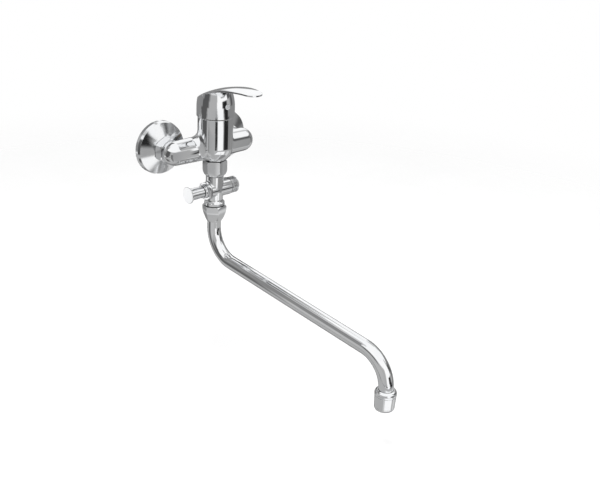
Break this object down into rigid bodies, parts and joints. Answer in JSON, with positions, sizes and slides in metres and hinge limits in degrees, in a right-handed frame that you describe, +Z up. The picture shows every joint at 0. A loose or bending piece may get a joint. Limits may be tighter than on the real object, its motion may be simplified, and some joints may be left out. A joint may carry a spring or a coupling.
{
  "type": "wall mixer tap with diverter",
  "caption": "Single-lever wall mixer tap with coned wall escutcheons, an in-line pull diverter with a hose outlet and a long swivel spout.",
  "frame": {"origin": "on the wall, midway between the two inlets, at the height of their axes", "axes": "+Y into the wall, so the tap stands out along -Y; +X to the right as the user sees it; +Z up"},
  "size_m": [0.1672, 0.3862, 0.3096],
  "materials": {
    "chrome_cast": "polished",
    "chrome_tube": "polished",
    "brass": "machined",
    "ceramic": "ground",
    "white_plastic": "moulded",
    "grey_plastic": "moulded",
    "rubber": "matte",
    "steel": "turned",
    "mark_plastic": "gloss"
  },
  "bodies": {
    "fixed": {"mixer_body": "chrome_cast", "diverter_nut": "chrome_cast", "diverter_body": "chrome_cast", "diverter_bonnet": "chrome_cast", "spout_nut": "chrome_cast", "cartridge_housing": "grey_plastic", "cartridge_base": "white_plastic", "cartridge_base_seals": "rubber", "fixed_ceramic_disc": "ceramic", "cartridge_clamp_nut": "brass", "outlet_washer": "rubber", "diverter_split_ring": "steel", "bonnet_gasket": "rubber", "bonnet_seal": "rubber", "spout_glide_ring": "white_plastic", "left_wall_union": "brass", "left_escutcheon": "chrome_tube", "left_union_nut": "chrome_cast", "left_inlet_washer": "rubber", "left_inlet_strainer": "steel", "left_inlet_tail": "brass", "right_wall_union": "brass", "right_escutcheon": "chrome_tube", "right_union_nut": "chrome_cast", "right_inlet_washer": "rubber", "right_inlet_strainer": "steel", "right_inlet_tail": "brass"},
    "rotor": {"cartridge_rotor": "white_plastic", "pivot_pin": "steel"},
    "lever": {"lever_handle": "chrome_cast", "lever_stem": "brass", "handle_set_screw": "steel", "index_plug": "mark_plastic"},
    "disc": {"moving_ceramic_disc": "ceramic", "disc_carrier": "white_plastic"},
    "diverter_slide": {"diverter_spindle": "brass", "spindle_seal": "rubber", "diverter_knob": "chrome_cast", "knob_finger_disc": "chrome_cast"},
    "spout": {"spout_tube": "chrome_tube", "spout_bush": "brass", "spout_seal_rings": "rubber", "spout_mouth_ring": "chrome_cast", "aerator_housing": "chrome_cast", "aerator_washer": "rubber", "aerator_screen": "steel", "aerator_insert": "white_plastic"}
  },
  "joints": [
    {"name": "lever_turn", "type": "hinge", "parent": "fixed", "child": "rotor", "pos_m": [0, -0.051, 0.0338], "axis": [0, 0, 1], "range_deg": [-50, 50]},
    {"name": "lever_lift", "type": "hinge", "parent": "rotor", "child": "lever", "pos_m": [0, -0.051, 0.0368], "axis": [-1, 0, 0], "range_deg": [0, 25]},
    {"name": "disc_slide", "type": "slide", "parent": "rotor", "child": "disc", "axis": [0, -1, 0], "range_m": [0, 0.00476]},
    {"name": "diverter_pull", "type": "slide", "parent": "fixed", "child": "diverter_slide", "axis": [-1, 0, 0], "range_m": [0, 0.008]},
    {"name": "spout_swivel", "type": "hinge", "parent": "fixed", "child": "spout", "pos_m": [0, -0.051, -0.08], "axis": [0, 0, 1], "range_deg": [-90, 90]}
  ],
  "couplings": [
    {"joint": "disc_slide", "follows": "lever_lift", "m_per_rad": 0.0109}
  ]
}
